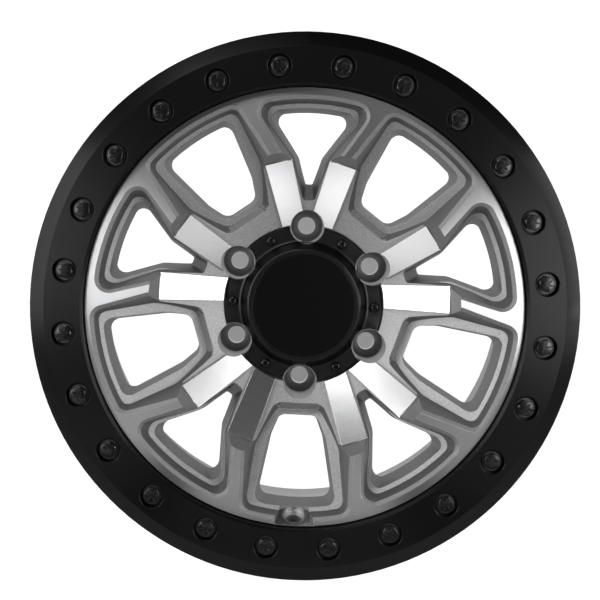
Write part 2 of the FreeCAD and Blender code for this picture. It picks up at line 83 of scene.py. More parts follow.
SCREW_SOCKET_AF = 3.0
SCREW_SOCKET_DEPTH = 1.6

# Raised strength marks on the bolt heads, which only the dressed bolts have.
MARK_COUNT = 6
MARK_IN_R = 2.0
MARK_OUT_R = 5.4
MARK_HALF_W = 0.55
MARK_H = 0.5
MARK_CREST_HALF_W = 0.15
MARK_CREST_INSET = 0.3

# How the pieces are shaded: edges sharper than this stay crisp, and round shapes have this many points.
SHARP_DEGREES = 24.0
ROUND_POINTS = 48
EDGE_SAMPLES = 6
MERGE_DISTANCE = 2e-6
ACROSS_AXLE = (1.0, 0.0, 1.0)


# Shader groups and materials

def add(tree, kind, **values):
    """Adds a node; keys that name an input set its value, the others set the node's own settings."""
    node = tree.nodes.new(kind)
    for key, value in values.items():
        if key in node.inputs:
            node.inputs[key].default_value = value
        else:
            setattr(node, key, value)
    return node


def grain_group():
    """Fine even grain of a sprayed or blasted surface: a value about one half and a bump height."""
    tree = bpy.data.node_groups.new("fine_grain", "ShaderNodeTree")
    tree.interface.new_socket("Size", in_out="INPUT", socket_type="NodeSocketFloat").default_value = 900.0
    tree.interface.new_socket("Cloud", in_out="INPUT", socket_type="NodeSocketFloat").default_value = 0.3
    tree.interface.new_socket("Value", in_out="OUTPUT", socket_type="NodeSocketFloat")
    tree.interface.new_socket("Height", in_out="OUTPUT", socket_type="NodeSocketFloat")
    ins = tree.nodes.new("NodeGroupInput")
    outs = tree.nodes.new("NodeGroupOutput")
    place = add(tree, "ShaderNodeTexCoord")
    speck = add(tree, "ShaderNodeTexNoise", Detail=2.0, Roughness=0.6)
    cloud = add(tree, "ShaderNodeTexNoise", Scale=22.0, Detail=3.0, Roughness=0.55)
    mix = add(tree, "ShaderNodeMix")
    tree.links.new(place.outputs["Object"], speck.inputs["Vector"])
    tree.links.new(place.outputs["Object"], cloud.inputs["Vector"])
    tree.links.new(ins.outputs["Size"], speck.inputs["Scale"])
    tree.links.new(ins.outputs["Cloud"], mix.inputs["Factor"])
    tree.links.new(speck.outputs["Fac"], mix.inputs["A"])
    tree.links.new(cloud.outputs["Fac"], mix.inputs["B"])
    tree.links.new(mix.outputs["Result"], outs.inputs["Value"])
    tree.links.new(speck.outputs["Fac"], outs.inputs["Height"])
    return tree


def turning_group():
    """Concentric tool marks about the axle: a value that varies only with the distance from it."""
    tree = bpy.data.node_groups.new("turning_marks", "ShaderNodeTree")
    marks = tree.interface.new_socket("Marks per metre", in_out="INPUT", socket_type="NodeSocketFloat")
    marks.default_value = 900.0
    tree.interface.new_socket("Value", in_out="OUTPUT", socket_type="NodeSocketFloat")
    tree.interface.new_socket("Height", in_out="OUTPUT", socket_type="NodeSocketFloat")
    ins = tree.nodes.new("NodeGroupInput")
    outs = tree.nodes.new("NodeGroupOutput")
    place = add(tree, "ShaderNodeTexCoord")
    flat = add(tree, "ShaderNodeVectorMath", operation="MULTIPLY")
    flat.inputs[1].default_value = ACROSS_AXLE
    reach = add(tree, "ShaderNodeVectorMath", operation="LENGTH")
    fine = add(tree, "ShaderNodeTexNoise", noise_dimensions="1D", Detail=3.0, Roughness=0.7)
    broad = add(tree, "ShaderNodeTexNoise", noise_dimensions="1D", Scale=160.0, Detail=2.0)
    mix = add(tree, "ShaderNodeMix", Factor=0.15)
    tree.links.new(place.outputs["Object"], flat.inputs[0])
    tree.links.new(flat.outputs["Vector"], reach.inputs[0])
    tree.links.new(reach.outputs["Value"], fine.inputs["W"])
    tree.links.new(reach.outputs["Value"], broad.inputs["W"])
    tree.links.new(ins.outputs["Marks per metre"], fine.inputs["Scale"])
    tree.links.new(fine.outputs["Fac"], mix.inputs["A"])
    tree.links.new(broad.outputs["Fac"], mix.inputs["B"])
    tree.links.new(mix.outputs["Result"], outs.inputs["Value"])
    tree.links.new(fine.outputs["Fac"], outs.inputs["Height"])
    return tree


FINE_GRAIN = grain_group()
TURNING_MARKS = turning_group()


def finish(name, dark, light, rough, metallic, bump, pattern, size, cloud=0.3, edge=0.0004, **shader):
    """Material whose colour, roughness and bump follow a shared pattern, with softly broken edges.

    dark and light are the ends of its colour, rough those of its roughness, bump is a strength and a height
    in metres, size and cloud set the pattern, edge is the radius of the broken edges in metres.
    """
    material = bpy.data.materials.new(name)
    material.use_nodes = True
    tree = material.node_tree
    surface = tree.nodes["Principled BSDF"]
    surface.inputs["Metallic"].default_value = metallic
    for key, value in shader.items():
        surface.inputs[key.replace("_", " ")].default_value = value
    group = add(tree, "ShaderNodeGroup", node_tree=pattern)
    group.inputs[0].default_value = size
    if "Cloud" in group.inputs:
        group.inputs["Cloud"].default_value = cloud
    tint = add(tree, "ShaderNodeMix", data_type="RGBA")
    tint.inputs["A"].default_value = (*dark, 1.0)
    tint.inputs["B"].default_value = (*light, 1.0)
    dullness = add(tree, "ShaderNodeMapRange")
    dullness.inputs["To Min"].default_value = rough[0]
    dullness.inputs["To Max"].default_value = rough[1]
    relief = add(tree, "ShaderNodeBump", Strength=bump[0], Distance=bump[1])
    broken_edge = add(tree, "ShaderNodeBevel", samples=EDGE_SAMPLES, Radius=edge)
    tree.links.new(broken_edge.outputs["Normal"], relief.inputs["Normal"])
    tree.links.new(group.outputs["Value"], tint.inputs["Factor"])
    tree.links.new(group.outputs["Value"], dullness.inputs["Value"])
    tree.links.new(group.outputs["Height"], relief.inputs["Height"])
    tree.links.new(tint.outputs["Result"], surface.inputs["Base Color"])
    tree.links.new(dullness.outputs["Result"], surface.inputs["Roughness"])
    tree.links.new(relief.outputs["Normal"], surface.inputs["Normal"])
    return material


def add_turned_tangent(material, stretch):
    """Stretches the gloss of a lathe-turned face across its concentric marks."""
    tree = material.node_tree
    surface = tree.nodes["Principled BSDF"]
    place = add(tree, "ShaderNodeTexCoord")
    outward = add(tree, "ShaderNodeVectorMath", operation="MULTIPLY")
    outward.inputs[1].default_value = ACROSS_AXLE
    tree.links.new(place.outputs["Object"], outward.inputs[0])
    level = add(tree, "ShaderNodeVectorMath", operation="NORMALIZE")
    tree.links.new(outward.outputs["Vector"], level.inputs[0])
    tree.links.new(level.outputs["Vector"], surface.inputs["Tangent"])
    surface.inputs["Anisotropic"].default_value = stretch


silver_paint = finish(
    "silver_paint", dark=(0.19, 0.19, 0.193), light=(0.66, 0.66, 0.665), rough=(0.4, 0.56), metallic=0.7,
    bump=(0.3, 0.0005), pattern=FINE_GRAIN, size=750.0, cloud=0.12, edge=0.0011,
    Coat_Weight=0.1, Coat_Roughness=0.25)
# A darker copy of the silver paint for the lips round the pocket mouths: painted shade, as the lips have the
# same paint as the face.
lip_paint_painted_shade = finish(
    "silver_paint_on_lips", dark=(0.14, 0.14, 0.142), light=(0.42, 0.42, 0.424), rough=(0.5, 0.64),
    metallic=0.55, bump=(0.3, 0.0005), pattern=FINE_GRAIN, size=750.0, cloud=0.12, edge=0.0006)
# A darker copy of the silver paint for the walls of the pockets and openings: painted shade, as the walls
# have the same paint as the face.
wall_paint_painted_shade = finish(
    "silver_paint_in_pockets", dark=(0.1, 0.1, 0.102), light=(0.29, 0.29, 0.293), rough=(0.5, 0.64),
    metallic=0.6, bump=(0.3, 0.0005), pattern=FINE_GRAIN, size=750.0, cloud=0.12, edge=0.0011)
turned_face = finish(
    "turned_aluminium", dark=(0.64, 0.64, 0.65), light=(0.78, 0.78, 0.79), rough=(0.27, 0.31), metallic=1.0,
    bump=(0.012, 0.0001), pattern=TURNING_MARKS, size=1500.0)
add_turned_tangent(turned_face, 0.85)
milled_face = finish(
    "milled_aluminium", dark=(0.76, 0.76, 0.77), light=(0.88, 0.88, 0.89), rough=(0.15, 0.26), metallic=1.0,
    bump=(0.012, 0.0001), pattern=TURNING_MARKS, size=900.0, edge=0.0006)
drilled_face = finish(
    "drilled_aluminium", dark=(0.18, 0.18, 0.183), light=(0.38, 0.38, 0.386), rough=(0.28, 0.42),
    metallic=1.0, bump=(0.05, 0.0002), pattern=FINE_GRAIN, size=900.0)
barrel_bright = finish(
    "bright_barrel", dark=(0.93, 0.93, 0.935), light=(0.97, 0.97, 0.975), rough=(0.05, 0.09), metallic=1.0,
    bump=(0.01, 0.0001), pattern=TURNING_MARKS, size=300.0)
ring_black = finish(
    "satin_black_ring", dark=(0.0016, 0.0016, 0.0017), light=(0.003, 0.003, 0.0031), rough=(0.27, 0.32),
    metallic=0.0, bump=(0.05, 0.0003), pattern=FINE_GRAIN, size=1100.0, Specular_IOR_Level=0.3)
add_turned_tangent(ring_black, 0.6)
cap_black = finish(
    "satin_black_cap", dark=(0.0014, 0.0014, 0.0015), light=(0.0026, 0.0026, 0.0027), rough=(0.28, 0.35),
    metallic=0.0, bump=(0.04, 0.0003), pattern=FINE_GRAIN, size=1000.0, Specular_IOR_Level=0.45)
plate_black = finish(
    "spun_black_plate", dark=(0.0016, 0.0016, 0.0017), light=(0.003, 0.003, 0.0031), rough=(0.24, 0.3),
    metallic=0.0, bump=(0.008, 0.0001), pattern=TURNING_MARKS, size=1200.0, Specular_IOR_Level=0.3)
bolt_black = finish(
    "black_oxide_steel", dark=(0.03, 0.03, 0.031), light=(0.05, 0.05, 0.051), rough=(0.2, 0.26), metallic=0.9,
    bump=(0.02, 0.0001), pattern=FINE_GRAIN, size=1400.0, cloud=0.1, edge=0.00015)
washer_black = finish(
    "black_zinc_steel", dark=(0.05, 0.05, 0.051), light=(0.12, 0.12, 0.121), rough=(0.34, 0.46), metallic=0.9,
    bump=(0.05, 0.0002), pattern=FINE_GRAIN, size=1400.0, cloud=0.4, edge=0.0003)


# Pieces carried over from the solids

def dressed_copy(node, name, materials, choose=None):
    """Merged, smoothly shaded copy of a CAD node; choose tells which of its materials a face has."""
    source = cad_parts[node]
    mesh = source.data.copy()
    mesh.name = name
    mesh.materials.clear()
    for material in materials:
        mesh.materials.append(material)
    work = bmesh.new()
    work.from_mesh(mesh)
    bmesh.ops.remove_doubles(work, verts=work.verts, dist=MERGE_DISTANCE)
    limit = math.radians(SHARP_DEGREES)
    for edge in work.edges:
        edge.smooth = len(edge.link_faces) == 2 and edge.calc_face_angle(0.0) < limit
    for face in work.faces:
        face.smooth = True
        face.material_index = choose(face) if choose else 0
    work.to_mesh(mesh)
    work.free()
    if "custom_normal" in mesh.attributes:
        mesh.attributes.remove(mesh.attributes["custom_normal"])
    piece = bpy.data.objects.new(name, mesh)
    bpy.context.scene.collection.objects.link(piece)
    return piece


def pad_height(x, y):
    """Height of the milled pad plane nearest to a point of the face, or None beside the pads."""
    slope = (PAD_OUT_Z - PAD_IN_Z) / (PAD_OUT_R - PAD_IN_R)
    lean = math.radians(PAD_LEAN)
    for pair in range(PAIR_COUNT):
        turn = math.radians(360.0 / PAIR_COUNT * pair)
        across = x * math.cos(turn) + y * math.sin(turn)
        up = -x * math.sin(turn) + y * math.cos(turn)
        for hand in (1, -1):
            along = hand * across * math.sin(lean) + (up - PAD_CROSS_Y) * math.cos(lean)
            beside = across * math.cos(lean) - hand * (up - PAD_CROSS_Y) * math.sin(lean)
            if abs(beside) < PAD_HALF_W and along > 0.0:
                return PAD_IN_Z + slope * (along + PAD_CROSS_Y - PAD_IN_R)
    return None


def lug_distance(x, y):
    """Distance from a point of the face to the nearest lug's axis."""
    turns = [math.radians(360.0 / LUG_COUNT * lug) for lug in range(LUG_COUNT)]
    return min(math.hypot(x + LUG_CIRCLE_R * math.sin(turn), y - LUG_CIRCLE_R * math.cos(turn))
               for turn in turns)


# Places of the casting's finishes in its list of materials; the wall and lip places hold darker copies of the
# paint, which are painted shade.
PAINTED, TURNED, MILLED, DRILLED, BARREL, PAINTED_SHADE_WALL, PAINTED_SHADE_LIP = range(7)

# What a face of the casting has to show to be told apart: the outboard share of its normal, and how far
# in millimetres it may lie off its level.
SQUARE_ON = 0.9
PAD_FACING = (0.88, 0.96)
PAINTED_SHADE_LIP_FACING = (0.7, 0.95)
PAINTED_SHADE_WALL_FACING = 0.5
TOWARDS_AXLE = 0.3
VALVE_FLAT_SQUARE = 0.999
LEVEL_GAP = 0.1
BACK_GAP = 0.05
PAD_GAP = 0.25


def body_finish(face):
    """Finish of a face of the casting, told by where it lies and which way it points; walls and lips get
    paint with painted shade.
    """
    centre = face.calc_center_median() * MM_PER_M
    outboard = -centre.y
    facing = -face.normal.y
    reach = math.hypot(centre.x, centre.z)
    if outboard > BAND_Z - LEVEL_GAP and facing > SQUARE_ON:
        return TURNED
    if outboard > BAND_Z - BAND_CHAMFER and reach > BAND_R - 2.0 * BAND_CHAMFER:
        return MILLED
    if abs(outboard) < BACK_GAP and facing < -SQUARE_ON:
        return TURNED
    in_lug_pocket = lug_distance(centre.x, centre.z) < LUG_POCKET_R + LEVEL_GAP
    if in_lug_pocket and reach < LUG_CIRCLE_R + 2.0 * LUG_POCKET_R:
        return DRILLED
    towards_axle = -(face.normal.x * centre.x + face.normal.z * centre.z) / max(reach, 1.0)
    if reach > BARREL_INNER_R and outboard < BARREL_BACK_Z and towards_axle > TOWARDS_AXLE:
        return BARREL
    if PAD_FACING[0] < facing < PAD_FACING[1]:
        height = pad_height(centre.x, centre.z)
        if height is not None and abs(outboard - height) < PAD_GAP:
            return MILLED
    lean = math.radians(VALVE_LEAN)
    on_flat = face.normal.z * math.sin(lean) + facing * math.cos(lean) > VALVE_FLAT_SQUARE
    if on_flat and abs(centre.x) < VALVE_FLAT_HALF_W and centre.z < 0.9 * -VALVE_R:
        return MILLED
    # Lips round the pocket mouths take the paint with painted shade.
    if outboard > BAND_Z - LIP_DROP and PAINTED_SHADE_LIP_FACING[0] < facing < PAINTED_SHADE_LIP_FACING[1]:
        return PAINTED_SHADE_LIP
    # Walls that face across the axle take the paint with painted shade, except the steps between arms and
    # pads.
    on_step = STEP_IN_R < reach < STEP_OUT_R and towards_axle > SQUARE_ON
    if facing < PAINTED_SHADE_WALL_FACING and outboard > 0.0 and reach < BAND_R and not on_step:
        return PAINTED_SHADE_WALL
    return PAINTED


body_materials = [silver_paint, turned_face, milled_face, drilled_face, barrel_bright, wall_paint_painted_shade, lip_paint_painted_shade]
body = dressed_copy("wheel_body", "wheel_body_finished", body_materials, body_finish)
ring = dressed_copy("beadlock_ring", "clamp_ring_finished", [ring_black])
cap = dressed_copy("centre_cap", "centre_cap_finished", [cap_black])
plate = dressed_copy("cap_plate", "cap_plate_finished", [plate_black])


# Fasteners, one shape each, set round the axle

def mesh_from_loops(name, loops, closed_ends=(True, True)):
    """Closed mesh through rings of points, all with the same number of points."""
    work = bmesh.new()
    rings = [[work.verts.new(Vector(p) / MM_PER_M) for p in loop] for loop in loops]
    count = len(rings[0])
    for low, high in zip(rings, rings[1:]):
        for i in range(count):
            work.faces.new((low[i], low[(i + 1) % count], high[(i + 1) % count], high[i]))
    if closed_ends[0]:
        work.faces.new(list(reversed(rings[0])))
    if closed_ends[1]:
        work.faces.new(rings[-1])
    bmesh.ops.recalc_face_normals(work, faces=work.faces)
    limit = math.radians(SHARP_DEGREES)
    for edge in work.edges:
        edge.smooth = len(edge.link_faces) == 2 and edge.calc_face_angle(0.0) < limit
    for face in work.faces:
        face.smooth = True
    mesh = bpy.data.meshes.new(name)
    work.to_mesh(mesh)
    work.free()
    return mesh


def circle(radius, z):
    """Ring of points round a circle."""
    angles = [2 * math.pi * i / ROUND_POINTS for i in range(ROUND_POINTS)]
    return [(radius * math.cos(angle), radius * math.sin(angle), z) for angle in angles]


def hex_reach(across_flats, angle):
    """Distance from a hexagon's centre to its side at an angle."""
    third = math.pi / 3
    return 0.5 * across_flats / math.cos((angle + math.pi / 6) % third - math.pi / 6)


def hex_loop(across_flats, height):
    """Ring round a hexagon; height is a function of the distance from its centre."""
    loop = []
    for i in range(ROUND_POINTS):
        angle = 2 * math.pi * i / ROUND_POINTS
        reach = hex_reach(across_flats, angle)
        loop.append((reach * math.cos(angle), reach * math.sin(angle), height(reach)))
    return loop


def add_head_mark(work, angle, top):
    """Adds one raised radial mark, narrowing to its crest, to the top of a bolt head."""
    out = Vector((math.cos(angle), math.sin(angle), 0.0))
    side = Vector((-math.sin(angle), math.cos(angle), 0.0))
    crest = top + MARK_H
    outline = ((MARK_IN_R, MARK_HALF_W, top), (MARK_OUT_R, MARK_HALF_W, top),
               (MARK_OUT_R - MARK_CREST_INSET, MARK_CREST_HALF_W, crest),
               (MARK_IN_R + MARK_CREST_INSET, MARK_CREST_HALF_W, crest))
    corners = []
    for reach, half, z in outline:
        middle = out * reach + Vector((0, 0, z))
        corners.append([work.verts.new((middle + side * s * half) / MM_PER_M) for s in (-1, 1)])
    (a0, a1), (b0, b1), (c0, c1), (d0, d1) = corners
    quads = ((d0, c0, c1, d1), (a0, b0, c0, d0), (b0, b1, c1, c0),
             (b1, a1, d1, c1), (a1, a0, d0, d1), (a0, a1, b1, b0))
    for quad in quads:
        work.faces.new(quad)


def bolt_mesh():
    """Hexagon bolt with a washer face, a chamfered head and raised strength marks; seat at z = 0."""
    top = BOLT_HEAD_H
    tip = -BOLT_LENGTH
    washer_face_r = 0.5 * BOLT_AF - 0.3
    washer_face_h = 0.25
    crown_r = 0.5 * BOLT_AF - 0.25
    dish_r = crown_r - 0.25
    dish_z = top + 0.05
    chamfer = math.tan(math.radians(30.0))
    loops = [
        circle(BOLT_SHANK_R - 0.9, tip), circle(BOLT_SHANK_R, tip + 1.0), circle(BOLT_SHANK_R, 0.0),
        circle(washer_face_r, 0.0), circle(washer_face_r, washer_face_h),
        hex_loop(BOLT_AF, lambda r: washer_face_h),
        hex_loop(BOLT_AF, lambda r: top - (r - crown_r) * chamfer),
        circle(crown_r, top), circle(dish_r, dish_z), circle(1.0, dish_z),
    ]
    mesh = mesh_from_loops("bolt_shape", loops)
    work = bmesh.new()
    work.from_mesh(mesh)
    for mark in range(MARK_COUNT):
        add_head_mark(work, math.radians(360.0 / MARK_COUNT * mark + 30.0), top)
    bmesh.ops.recalc_face_normals(work, faces=work.faces)
    work.to_mesh(mesh)
    work.free()
    return mesh


def washer_mesh():
    """Flat washer with rolled edges, its foot at z = 0."""
    inner = BOLT_SHANK_R + 0.35
    edge = 0.3
    loops = [
        circle(inner, edge), circle(inner + edge, 0.0), circle(WASHER_R - edge, 0.0), circle(WASHER_R, edge),
        circle(WASHER_R, WASHER_T - edge), circle(WASHER_R - edge, WASHER_T), circle(inner + edge, WASHER_T),
        circle(inner, WASHER_T - edge), circle(inner, edge),
    ]
    mesh = mesh_from_loops("washer_shape", loops, (False, False))
    work = bmesh.new()
    work.from_mesh(mesh)
    bmesh.ops.remove_doubles(work, verts=work.verts, dist=1e-7)
    bmesh.ops.recalc_face_normals(work, faces=work.faces)
    work.to_mesh(mesh)
    work.free()
    return mesh


def screw_mesh():
    """Button-headed socket screw, its seat at z = 0."""
    rise = SCREW_HEAD_H
    rim_h = 0.5
    land_r = 2.1
    loops = [circle(SCREW_SHANK_R - 0.4, -SCREW_LENGTH), circle(SCREW_SHANK_R, -SCREW_LENGTH + 0.5),
             circle(SCREW_SHANK_R, 0.0), circle(SCREW_HEAD_R, 0.0), circle(SCREW_HEAD_R, rim_h)]
    for step in range(1, 7):
        turn = math.radians(13.0 * step)
        button_r = land_r + (SCREW_HEAD_R - land_r) * math.cos(turn)
        loops.append(circle(button_r, rim_h + (rise - rim_h) * math.sin(turn)))
    loops.append(circle(land_r, rise))
    loops.append(hex_loop(SCREW_SOCKET_AF, lambda r: rise - 0.1))
    loops.append(hex_loop(SCREW_SOCKET_AF, lambda r: rise - SCREW_SOCKET_DEPTH))
    return mesh_from_loops("screw_shape", loops)


def round_axle_tree():
    """Geometry tree: one shape set evenly on a circle about the axle, turned out of the wheel's frame."""
    tree = bpy.data.node_groups.new("set_round_axle", "GeometryNodeTree")
    face = tree.interface
    face.new_socket("Shape", in_out="INPUT", socket_type="NodeSocketObject")
    face.new_socket("Count", in_out="INPUT", socket_type="NodeSocketInt").default_value = 6
    face.new_socket("Circle radius", in_out="INPUT", socket_type="NodeSocketFloat").default_value = 0.1
    face.new_socket("Seat height", in_out="INPUT", socket_type="NodeSocketFloat").default_value = 0.0
    face.new_socket("First angle", in_out="INPUT", socket_type="NodeSocketFloat").default_value = 0.0
    face.new_socket("Loose clocking", in_out="INPUT", socket_type="NodeSocketFloat").default_value = 0.0
    face.new_socket("Seed", in_out="INPUT", socket_type="NodeSocketInt").default_value = 1
    face.new_socket("Finish", in_out="INPUT", socket_type="NodeSocketMaterial")
    face.new_socket("Geometry", in_out="OUTPUT", socket_type="NodeSocketGeometry")
    ins = tree.nodes.new("NodeGroupInput")
    outs = tree.nodes.new("NodeGroupOutput")
    points = add(tree, "GeometryNodeMeshCircle")
    seat = add(tree, "GeometryNodeTransform")
    lift = add(tree, "ShaderNodeCombineXYZ")
    spin = add(tree, "ShaderNodeCombineXYZ")
    shape = add(tree, "GeometryNodeObjectInfo")
    place = add(tree, "GeometryNodeInstanceOnPoints")
    clocking = add(tree, "FunctionNodeRandomValue")
    loose = add(tree, "ShaderNodeCombineXYZ")
    real = add(tree, "GeometryNodeRealizeInstances")
    upright = add(tree, "GeometryNodeTransform")
    upright.inputs["Rotation"].default_value = (math.pi / 2, 0.0, 0.0)
    paint = add(tree, "GeometryNodeSetMaterial")
    link = tree.links.new
    link(ins.outputs["Count"], points.inputs["Vertices"])
    link(ins.outputs["Circle radius"], points.inputs["Radius"])
    link(ins.outputs["Seat height"], lift.inputs["Z"])
    link(ins.outputs["First angle"], spin.inputs["Z"])
    link(points.outputs["Mesh"], seat.inputs["Geometry"])
    link(lift.outputs["Vector"], seat.inputs["Translation"])
    link(spin.outputs["Vector"], seat.inputs["Rotation"])
    link(ins.outputs["Shape"], shape.inputs["Object"])
    link(seat.outputs["Geometry"], place.inputs["Points"])
    link(shape.outputs["Geometry"], place.inputs["Instance"])
    link(ins.outputs["Loose clocking"], clocking.inputs["Max"])
    link(ins.outputs["Seed"], clocking.inputs["Seed"])
    link(clocking.outputs["Value"], loose.inputs["Z"])
    link(loose.outputs["Vector"], place.inputs["Rotation"])
    link(place.outputs["Instances"], upright.inputs["Geometry"])
    link(upright.outputs["Geometry"], real.inputs["Geometry"])
    link(real.outputs["Geometry"], paint.inputs["Geometry"])
    link(ins.outputs["Finish"], paint.inputs["Material"])
    link(paint.outputs["Geometry"], outs.inputs["Geometry"])
    return tree


ROUND_AXLE = round_axle_tree()


def set_round_axle(name, mesh, **values):
    """Places copies of a shape round the axle and returns them as one plain mesh piece."""
    shape = bpy.data.objects.new(name + "_shape", mesh)
    carrier = bpy.data.objects.new(name + "_carrier", bpy.data.meshes.new(name + "_carrier"))
    bpy.context.scene.collection.objects.link(shape)
    bpy.context.scene.collection.objects.link(carrier)
    modifier = carrier.modifiers.new("set_round_axle", "NODES")
    modifier.node_group = ROUND_AXLE
    settings = dict(values, Shape=shape)
    for item in ROUND_AXLE.interface.items_tree:
        if item.in_out == "INPUT":
            key = item.name.replace(" ", "_")
            if key in settings:
                modifier[item.identifier] = settings[key]
    graph = bpy.context.evaluated_depsgraph_get()
    graph.update()
    result = bpy.data.meshes.new_from_object(carrier.evaluated_get(graph), depsgraph=graph)
    result.name = name
    carrier.modifiers.remove(modifier)
    bpy.data.objects.remove(carrier)
    bpy.data.objects.remove(shape)
    piece = bpy.data.objects.new(name, result)
    bpy.context.scene.collection.objects.link(piece)
    return piece


first_bolt = math.radians(90.0 + BOLT_FIRST_ANGLE)
any_clocking = math.radians(60.0)
bolts = set_round_axle(
    "ring_bolts_finished", bolt_mesh(), Count=BOLT_COUNT, Circle_radius=BOLT_CIRCLE_R / MM_PER_M,
    Seat_height=(SPOT_FLOOR_Z + WASHER_T) / MM_PER_M, First_angle=first_bolt, Loose_clocking=any_clocking,
    Seed=7, Finish=bolt_black)
washers = set_round_axle(
    "ring_washers_finished", washer_mesh(), Count=BOLT_COUNT, Circle_radius=BOLT_CIRCLE_R / MM_PER_M,
    Seat_height=SPOT_FLOOR_Z / MM_PER_M, First_angle=first_bolt, Finish=washer_black)
screws = set_round_axle(
    "cap_screws_finished", screw_mesh(), Count=SCREW_COUNT, Circle_radius=SCREW_CIRCLE_R / MM_PER_M,
    Seat_height=SCREW_SEAT_Z / MM_PER_M, First_angle=0.0, Loose_clocking=any_clocking,
    Seed=3, Finish=bolt_black)

# Each finished piece with the node it replaces and its slot.
dressed_pieces = (
    (body, "wheel_body", "body"),
    (ring, "beadlock_ring", "ring"),
    (bolts, "ring_bolts", "bolts"),
    (washers, "ring_washers", "washers"),
    (cap, "centre_cap", "cap"),
    (plate, "cap_plate", "plate"),
    (screws, "cap_screws", "screws"),
)
for piece, node, slot in dressed_pieces:
    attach(piece, "root")
    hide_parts(node)


# Floor, light and camera

# The stage is a sheet that lies flat under the wheel and sweeps up behind it, in metres.
FLOOR_Z = -0.2362
FLOOR_FRONT_Y = -3.0
SWEEP_FOOT_Y = 1.2
SWEEP_R = 0.8
SWEEP_STEPS = 12
BACKDROP_TOP_Z = 3.2
SHEET_HALF_W = 4.0

# The floor is dark on the camera's side and turns pale between these two depths, so that the lower face,
# which mirrors it, stays dark.
DARK_FLOOR_Y = -0.3
PALE_FLOOR_Y = -0.16
DARK_CLOTH = (0.03, 0.03, 0.03, 1.0)
PALE_CLOTH = (0.8, 0.8, 0.8, 1.0)

# The sheet shows white to the camera, and from behind the wheel on also in bright metal.
DARK_FLOOR_GLOW = 0.99
PALE_FLOOR_GLOW = 0.92
MIRRORED_FROM_Y = 0.15
MIRRORED_FULLY_Y = 0.5

# The backdrop has a darker patch of painted shade straight behind the hub, which shows only through the lug
# holes.
SHADE_PATCH_CENTRE = (0.03, 1.66, -0.1)
SHADE_PATCH_REACH = (0.215, 0.53, 0.24)
SHADE_PATCH_EDGE = (0.97, 1.12)
SHADE_PATCH_LEVEL = 0.09


def stage_mesh():
    """Flat floor with a round sweep up to an upright backdrop."""
    profile = [(FLOOR_FRONT_Y, FLOOR_Z), (SWEEP_FOOT_Y, FLOOR_Z)]
    for step in range(1, SWEEP_STEPS + 1):
        turn = math.radians(90.0 / SWEEP_STEPS * step)
        profile.append((SWEEP_FOOT_Y + SWEEP_R * math.sin(turn), FLOOR_Z + SWEEP_R * (1.0 - math.cos(turn))))
    profile.append((SWEEP_FOOT_Y + SWEEP_R, BACKDROP_TOP_Z))
    work = bmesh.new()
    rows = [[work.verts.new((x, y, z)) for x in (-SHEET_HALF_W, SHEET_HALF_W)] for y, z in profile]
    for low, high in zip(rows, rows[1:]):
        work.faces.new((low[0], low[1], high[1], high[0])).smooth = True
    mesh = bpy.data.meshes.new("stage_sheet")
    work.to_mesh(mesh)
    work.free()
    return mesh


def add_ramp(tree, source, span, ends=(0.0, 1.0), **settings):
    """Adds a ramp that turns one span of a value into another and returns its output."""
    ramp = add(tree, "ShaderNodeMapRange", **settings)
    for key, value in zip(("From Min", "From Max", "To Min", "To Max"), (*span, *ends)):
        ramp.inputs[key].default_value = value
    tree.links.new(source, ramp.inputs["Value"])
    return ramp.outputs["Result"]


def add_painted_shade_patch(tree, position):
    """Adds the share of glow left at a point of the sheet by the patch of painted shade and returns it."""
    offset = add(tree, "ShaderNodeVectorMath", operation="SUBTRACT")
    offset.inputs[1].default_value = SHADE_PATCH_CENTRE
    squash = add(tree, "ShaderNodeVectorMath", operation="DIVIDE")
    squash.inputs[1].default_value = SHADE_PATCH_REACH
    spread = add(tree, "ShaderNodeVectorMath", operation="LENGTH")
    tree.links.new(position, offset.inputs[0])
    tree.links.new(offset.outputs["Vector"], squash.inputs[0])
    tree.links.new(squash.outputs["Vector"], spread.inputs[0])
    return add_ramp(tree, spread.outputs["Value"], SHADE_PATCH_EDGE, (SHADE_PATCH_LEVEL, 1.0),
                    interpolation_type="SMOOTHSTEP")


